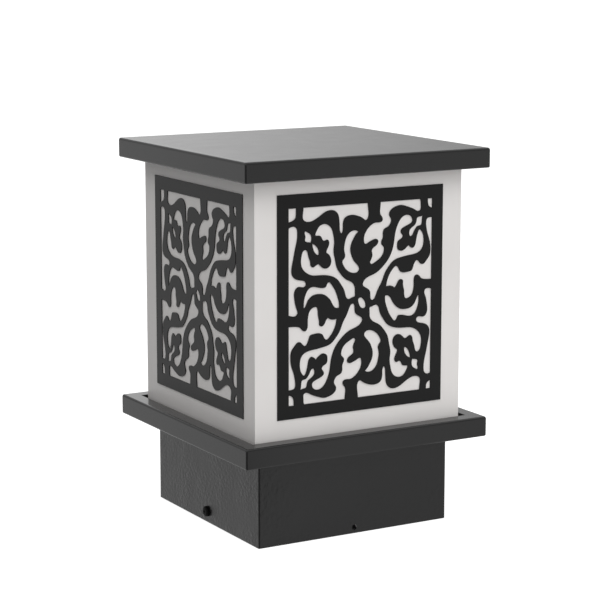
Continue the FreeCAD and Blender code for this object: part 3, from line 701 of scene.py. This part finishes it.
# %% [markdown]
# ### Hexagon nuts
# A nut starts as a slice of hexagon bar. Turning both faces at 30 degrees takes its corners off, which
# leaves the curved edges that catch the light. So a prism and a spun double cone are intersected.

# %% Nuts
m4_flats = 7.0
m4_nut_height = 3.2
m3_flats = 5.5
m3_nut_height = 2.4
thread_gap = 0.05
chamfer_face_share = 0.47
chamfer_angle = math.radians(30)
chamfer_steps = 60
sinks_per_bore = 7
past = 1.0


def hex_nut(flats, height, bore):
    """A chamfered nut from height nought, with corners along X and a countersunk bore."""
    corner = flats / math.sqrt(3)
    face = chamfer_face_share * flats
    drop = (corner - face) * math.tan(chamfer_angle)
    upright = Matrix.Translation((0, 0, height / 2)) @ Matrix.Rotation(math.pi / 6, 4, "Z")
    prism = bmesh.new()
    bmesh.ops.create_cone(prism, cap_ends=True, segments=6, radius1=corner, radius2=corner, depth=height,
                          matrix=upright)
    turning = spun([(0, 0), (face, 0), (corner, drop), (corner, height - drop), (face, height),
                    (0, height)], chamfer_steps)
    blank = carved(prism, turning, "INTERSECT")
    sink = bore / sinks_per_bore
    hole = spun([(0, -past), (bore + sink + past, -past), (bore, sink), (bore, height - sink),
                 (bore + sink + past, height + past), (0, height + past)])
    return carved(blank, hole)


m4_nut = hex_nut(m4_flats, m4_nut_height, m4_radius + thread_gap)
m3_nut = hex_nut(m3_flats, m3_nut_height, m3_radius + thread_gap)
print("nut", len(m4_nut.faces), "faces")

# %% [markdown]
# ### Cross-recessed screws
# A pan head is stamped cold, so its rim is round and its recess tapers with the punch. The thread is
# rolled, and stops a little below the head. The head is spun from its profile, and the recess is carved
# with one tapered bar, once along and once across.

# %% Screws
head_radius = 3.5
head_height = 2.2
head_round = 1.4
recess_reach = 4.0
recess_width = 0.8
recess_depth = 1.3
recess_taper = 0.45
rim_steps = 8
neck_length = 0.8
neck_tip_share = 0.9


def brick(length, width, height, taper=1.0):
    """A block round the origin whose lower end is narrower by the taper."""
    shape = bmesh.new()
    bmesh.ops.create_cube(shape, size=1.0)
    for corner in shape.verts:
        share = taper if corner.co.z < 0 else 1.0
        corner.co = (corner.co.x * length * share, corner.co.y * width * share, corner.co.z * height)
    return shape


def pan_screw(radius, pitch, length, size=1.0):
    """A screw along Z with its head above height nought and its shank below."""
    edge = size * (head_radius - head_round)
    shoulder = size * (head_height - head_round)
    arc = [(edge + size * head_round * math.cos(a), shoulder + size * head_round * math.sin(a))
           for a in (k * math.pi / 2 / rim_steps for k in range(rim_steps + 1))]
    head = spun([(0, 0), (size * head_radius, 0)] + arc + [(0, size * head_height)])
    for turn in (0, math.pi / 2):
        bar = at(brick(size * recess_reach, size * recess_width, 2 * size * recess_depth, recess_taper),
                 [(0, 0, size * head_height)], Matrix.Rotation(turn, 4, "Z"))
        head = carved(head, bar)
    neck = spun([(0, close_by - neck_length), (neck_tip_share * radius, close_by - neck_length),
                 (radius, -neck_length / 2), (radius, 0), (0, 0)])
    return joined(head, neck, threaded(radius, pitch, -length, -neck_length))


print("pan head", 2 * head_radius, "mm wide and", head_height, "mm high")

# %% [markdown]
# ### Skirt screws
# Two black screws hold the skirt on its bracket, one on the left side and one on the right. Their heads
# lie on the coat, so the same screw is turned a quarter one way and then the other.

# %% Skirt screws
skirt_screw_length = 10.0
side_low, side_high = span("skirt_screws")
screw_level = (side_low.z + side_high.z) / 2
skirt_face = side_high.x - head_height
skirt_screw = pan_screw(m4_radius, m4_pitch, skirt_screw_length)
right_screw = at(skirt_screw, [(skirt_face, 0, screw_level)], Matrix.Rotation(math.pi / 2, 4, "Y"))
left_screw = at(skirt_screw, [(-skirt_face, 0, screw_level)], Matrix.Rotation(-math.pi / 2, 4, "Y"))
skirt_screws = joined(right_screw, left_screw)
piece("skirt_pan_screws", [(skirt_screws, blackened)], "housing", "blackened_steel", "skirt_screws")

# %% [markdown]
# ### Tie rods
# Four rods hang from the cap and pull it down on the panes. All four are one threaded shape, copied to
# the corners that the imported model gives.

# %% Tie rods
rod_low, rod_high = span("tie_rods")
rod_offset = rod_high.x - m4_radius
corners = [(x, y, 0) for x in (-rod_offset, rod_offset) for y in (-rod_offset, rod_offset)]
rod = threaded(m4_radius, m4_pitch, rod_low.z, rod_high.z)
piece("threaded_tie_rods", [(at(rod, corners), zinc)], "housing", "zinc_plated_steel", "tie_rods")

# %% [markdown]
# ### Nuts and washers of the rods
# Each rod has a washer and a nut under the skirt's top, and another nut under the cap. They are copied to
# the same corners as the rods. A washer is stamped from sheet, so the edges of its profile are a little
# eased.

# %% Nuts and washers of the rods
for name, node in (("chamfered_rod_nuts", "rod_nuts"), ("chamfered_cap_nuts", "cap_nuts")):
    height = span(node)[0].z
    places = [(x, y, height) for x, y, z in corners]
    piece(name, [(at(m4_nut, places), zinc)], "housing", "zinc_plated_steel", node)

washer_low, washer_high = span("rod_washers")
washer_radius = washer_high.x - rod_offset
washer_edge = 0.12
washer_gap = 0.25
washer_bore = m4_radius + washer_gap
washer = ring([(washer_bore, washer_low.z), (washer_radius - washer_edge, washer_low.z),
               (washer_radius, washer_low.z + washer_edge), (washer_radius, washer_high.z - washer_edge),
               (washer_radius - washer_edge, washer_high.z), (washer_bore, washer_high.z)])
piece("stamped_rod_washers", [(at(washer, corners), zinc)], "housing", "zinc_plated_steel", "rod_washers")

# %% [markdown]
# ### Holder screws
# Two screws hold the lamp holder, with their heads in its foot and a nut under the tray on each. They
# are the same pan screw in another length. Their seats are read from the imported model, so they stay in
# place when the housing's sizes change.

# %% Holder screws
holder_low, holder_high = span("holder_screws")
holder_bolt = holder_high.x - head_radius
holder_seat = holder_high.z - head_height
bolt_places = [(-holder_bolt, 0, holder_seat), (holder_bolt, 0, holder_seat)]
holder_screw = pan_screw(m4_radius, m4_pitch, holder_seat - holder_low.z)
piece("holder_pan_screws", [(at(holder_screw, bolt_places), zinc)], "housing", "zinc_plated_steel",
      "holder_screws")
nut_level = span("holder_nuts")[0].z
piece("holder_hexagon_nuts", [(at(m4_nut, [(x, 0, nut_level) for x, y, z in bolt_places]), zinc)],
      "housing", "zinc_plated_steel", "holder_nuts")

# %% [markdown]
# ### Earth screw
# This screw holds the earth wire's eyelet under the tray. It is the same screw again, turned over so that
# its head is below and its nut above.

# %% Earth screw
over = Matrix.Rotation(math.pi, 4, "X")
earth_low, earth_high = span("earth_screw")
earth_x = (earth_low.x + earth_high.x) / 2
earth_y = (earth_low.y + earth_high.y) / 2
earth_seat = earth_low.z + head_height
earth_screw = pan_screw(m4_radius, m4_pitch, earth_high.z - earth_seat)
piece("earth_pan_screw", [(at(earth_screw, [(earth_x, earth_y, earth_seat)], over), zinc)], "housing",
      "zinc_plated_steel", "earth_screw")
piece("earth_hexagon_nut", [(at(m4_nut, [(earth_x, earth_y, span("earth_nut")[0].z)]), zinc)], "housing",
      "zinc_plated_steel", "earth_nut")

# %% [markdown]
# ### Block screws
# The terminal block hangs from two thinner screws, also with their heads below. The pan screw takes a
# size, so the same function makes them at M3.

# %% Block screws
m3_size = m3_radius / m4_radius
block_low, block_high = span("block_screws")
block_x = block_high.x - m3_size * head_radius
block_y = (block_low.y + block_high.y) / 2
block_seat = span("terminal_block")[0].z
block_screw = pan_screw(m3_radius, m3_pitch, block_high.z - block_seat, m3_size)
block_places = [(-block_x, block_y, block_seat), (block_x, block_y, block_seat)]
piece("block_pan_screws", [(at(block_screw, block_places, over), zinc)], "housing", "zinc_plated_steel",
      "block_screws")
block_nut_low = span("block_nuts")[0].z
piece("block_hexagon_nuts", [(at(m3_nut, [(x, y, block_nut_low) for x, y, z in block_places]), zinc)],
      "housing", "zinc_plated_steel", "block_nuts")

# %% [markdown]
# ### Clamp screws
# The six screws of the terminal block are headless, with a sawn slot that a small driver turns. Each is
# a spun pin with an eased edge, and a thin bar carves the slot.

# %% Clamp screws
clamp_low, clamp_high = span("terminal_screws")
clamp_radius = 1.2
clamp_edge = 0.15
slot_width = 0.45
slot_depth = 0.7
slot_turn = 0.5
small_steps = 32
clamp_x = clamp_high.x - clamp_radius
clamp_pin = spun([(0, clamp_low.z), (clamp_radius - clamp_edge, clamp_low.z),
                  (clamp_radius, clamp_low.z + clamp_edge), (clamp_radius, clamp_high.z),
                  (0, clamp_high.z)], small_steps)
slot_bar = at(brick(3 * clamp_radius, slot_width, 2 * slot_depth), [(0, 0, clamp_low.z)],
              Matrix.Rotation(slot_turn, 4, "Z"))
clamp_screw = carved(clamp_pin, slot_bar)
clamp_rows = (clamp_low.y + clamp_radius, clamp_high.y - clamp_radius)
clamp_places = [(x, y, 0) for x in (-clamp_x, 0, clamp_x) for y in clamp_rows]
piece("slotted_clamp_screws", [(at(clamp_screw, clamp_places), zinc)], "housing", "zinc_plated_steel",
      "terminal_screws")

# %% [markdown]
# ### Grommet
# The rubber ring has round lips, so that it can be pushed through the hole and doesn't cut the wires. One
# spun profile gives both lips and the groove between them.

# %% Grommet
lip_low, lip_high = span("wire_grommet")
lip_radius = lip_high.x
groove_radius = 6.95
grommet_bore = 5.0
lip_height = 2.0
lip_round = 0.6
half = [(grommet_bore, lip_round), (grommet_bore + lip_round / 3, lip_round / 4),
        (grommet_bore + lip_round, 0), (lip_radius - lip_round, 0),
        (lip_radius - lip_round / 4, lip_round / 3), (lip_radius, lip_round),
        (lip_radius - lip_round / 4, lip_height - lip_round / 3), (lip_radius - lip_round, lip_height),
        (groove_radius, lip_height)]
lower = [(r, lip_low.z + z) for r, z in half]
upper = [(r, lip_high.z - z) for r, z in reversed(half)]
piece("round_lipped_grommet", [(ring(lower + upper), rubber)], "housing", "seal_rubber", "wire_grommet")

# %% [markdown]
# ## The lamp's screw cap and its shell
# A lamp's thread is rolled into thin sheet, so it is a round wave rather than a V, and the shell that
# takes it has the same wave a little wider. Both are built ring by ring: the radius of each point
# follows from its height and its angle, with 3.62 mm from one crest to the next. Towards each end the
# wave fades into a plain round edge.

# %% Rolled thread
lamp_pitch = 3.62
wave_depth = 0.8
rings_per_turn = 14
wave_points = 60


def rolled_tube(low, high, crest, wall, ends):
    """A thin tube with a rolled right-hand thread. ends gives the plain radius beyond each end's fade."""
    shape = bmesh.new()
    count = round((high - low) / lamp_pitch * rings_per_turn)
    rows = []
    for k in range(count + 1):
        height = low + (high - low) * k / count
        fade = min(1.0, (height - low) / lamp_pitch, (high - height) / lamp_pitch)
        row = []
        for j in range(wave_points):
            angle = math.tau * j / wave_points
            wave = crest - wave_depth * (1 - math.cos(math.tau * height / lamp_pitch - angle)) / 2
            radius = ends + (wave - ends) * fade
            row.append(shape.verts.new((radius * math.cos(angle), radius * math.sin(angle), height)))
        rows.append(row)
    for below, above in zip(rows, rows[1:]):
        for j in range(wave_points):
            n = (j + 1) % wave_points
            shape.faces.new((below[j], below[n], above[n], above[j]))
    bmesh.ops.recalc_face_normals(shape, faces=shape.faces[:])
    bmesh.ops.solidify(shape, geom=shape.faces[:], thickness=wall)
    return tidy(shape)


print("lamp thread", lamp_pitch, "mm a turn")

# %% [markdown]
# ### Screw cap
# Below its thread the nickel-plated cap bends in to the insulator. That bend has no thread, so it is a
# spun ring, joined to the rolled tube where both have the same radius.

# %% Screw cap
cap_low, cap_high = span("lamp_cap")
cap_wall = 0.4
cap_crest = cap_high.x
cap_root = cap_crest - wave_depth
shoulder = 2.2
thread_low = cap_low.z + shoulder
cap_thread = rolled_tube(thread_low, cap_high.z, cap_crest, cap_wall, cap_root)
end_radius = span("lamp_insulator")[1].x
end_bend_in, end_bend_up = 1.2, 0.3
side_bend_in, side_bend_up = 0.3, 1.1
inner_bend_in, inner_bend_up = 1.5, 0.9
cap_end = ring([(end_radius, cap_low.z), (cap_root - end_bend_in, cap_low.z + end_bend_up),
                (cap_root - side_bend_in, cap_low.z + side_bend_up), (cap_root, thread_low),
                (cap_root - cap_wall, thread_low), (cap_root - inner_bend_in, cap_low.z + inner_bend_up),
                (end_radius, cap_low.z + cap_wall)])
piece("rolled_screw_cap", [(joined(cap_thread, cap_end), nickel)], "lamp", "lamp_cap_metal", "lamp_cap")

# %% [markdown]
# ### Holder's shell
# The brass shell in the holder is one rolled tube, open at both ends. The lamp's cap turns in it.

# %% Holder's shell
shell_low, shell_high = span("holder_shell")
shell_wall = 0.35
shell_inside = shell_high.x - shell_wall
shell_thread = rolled_tube(shell_low.z, shell_high.z, shell_inside, shell_wall, shell_inside)
piece("rolled_holder_shell", [(shell_thread, brass)], "housing", "brass", "holder_shell")

# %% [markdown]
# ### Centre contact
# The lamp's lower contact is a small dome with a drop of solder over the wire's end. It is round, so it is
# spun from its profile.

# %% Centre contact
tip_low, tip_high = span("lamp_contact")
tip_radius = tip_high.x
drop_radius, drop_rise = 1.0, 0.05
foot_radius, foot_rise = 1.15, 0.2
dome_radius, dome_rise = 2.6, 0.3
edge_radius, edge_rise = 3.9, 0.55
tip = spun([(0, tip_low.z + drop_rise), (drop_radius, tip_low.z + drop_rise),
            (foot_radius, tip_low.z + foot_rise), (dome_radius, tip_low.z + dome_rise),
            (edge_radius, tip_low.z + edge_rise), (tip_radius, tip_high.z), (0, tip_high.z)])
piece("domed_centre_contact", [(tip, tinned)], "lamp_tip", "brass", "lamp_contact")

# %% [markdown]
# ### Lamp housing
# The plastic cone is moulded with a round rim that grips the cover, and a neck that is pressed into the
# screw cap. A mould's forms are mostly turned ones, so the cone is spun too, as a ring with an even wall.

# %% Lamp housing
cone_low, cone_high = span("lamp_housing")
cone_radius = cone_high.x
neck_outside = 11.6
neck_inside = 10.4
cone_wall = 1.2
rim_height = 1.6
cone_steps = 72
cone_start = cap_high.z
rim_bottom = cone_high.z - rim_height
foot_edge, foot_bend = 0.4, 0.5
swell_in, swell_drop = 1.3, 1.4
lip_in, lip_drop = 0.4, 0.5
inner_foot_in, inner_foot_up = 1.4, 1.0
cone = ring([(neck_inside, cone_low.z), (neck_outside, cone_low.z), (neck_outside, cone_start),
             (cap_crest - foot_edge, cone_start), (cap_crest, cone_start + foot_bend),
             (cone_radius - swell_in, rim_bottom - swell_drop),
             (cone_radius - lip_in, rim_bottom - lip_drop), (cone_radius, rim_bottom),
             (cone_radius, cone_high.z), (cone_radius - cone_wall, cone_high.z),
             (cap_crest - inner_foot_in, cone_start + inner_foot_up), (neck_inside, cone_start)],
            cone_steps)
piece("moulded_lamp_cone", [(cone, housing_plastic)], "lamp", "lamp_plastic", "lamp_housing")

# %% [markdown]
# ### Light emitters
# Each emitter is a white frame with a round pocket of yellow phosphor. The frame is a bevelled block, a
# spun tool carves the pocket, and a thin drop fills it. Eight of each are turned round the board.

# %% Light emitters
chip_low, chip_high = span("led_chips")
chip_side = 2.8
chip_height = chip_high.z - chip_low.z
chip_circle = chip_high.x - chip_side / 2
chip_count = 8
frame_bevel = 0.08
pocket_radius = 1.1
pocket_depth = 0.2
pocket_slope = 0.1
drop_dip = 0.05
block = brick(chip_side, chip_side, chip_height)
bmesh.ops.bevel(block, geom=block.edges[:], offset=frame_bevel, offset_type="OFFSET", segments=2,
                profile=0.5, affect="EDGES", material=-1)
pocket_floor = chip_height / 2 - pocket_depth
pocket = spun([(0, pocket_floor), (pocket_radius, pocket_floor),
               (pocket_radius + pocket_slope, chip_height), (0, chip_height)], small_steps)
chip_frame = carved(block, pocket)
drop = spun([(0, pocket_floor), (pocket_radius, pocket_floor),
             (pocket_radius, chip_height / 2 - drop_dip), (0, chip_height / 2)], small_steps)
chip_level = (chip_low.z + chip_high.z) / 2
chip_angles = [k * math.tau / chip_count for k in range(chip_count)]
chip_places = [(chip_circle * math.cos(a), chip_circle * math.sin(a), chip_level) for a in chip_angles]
frames = joined(*[at(chip_frame, [place], Matrix.Rotation(a, 4, "Z"))
                  for place, a in zip(chip_places, chip_angles)])
drops = at(drop, chip_places)
piece("framed_light_emitters", [(frames, housing_plastic), (drops, phosphor)], "lamp", "phosphor",
      "led_chips")
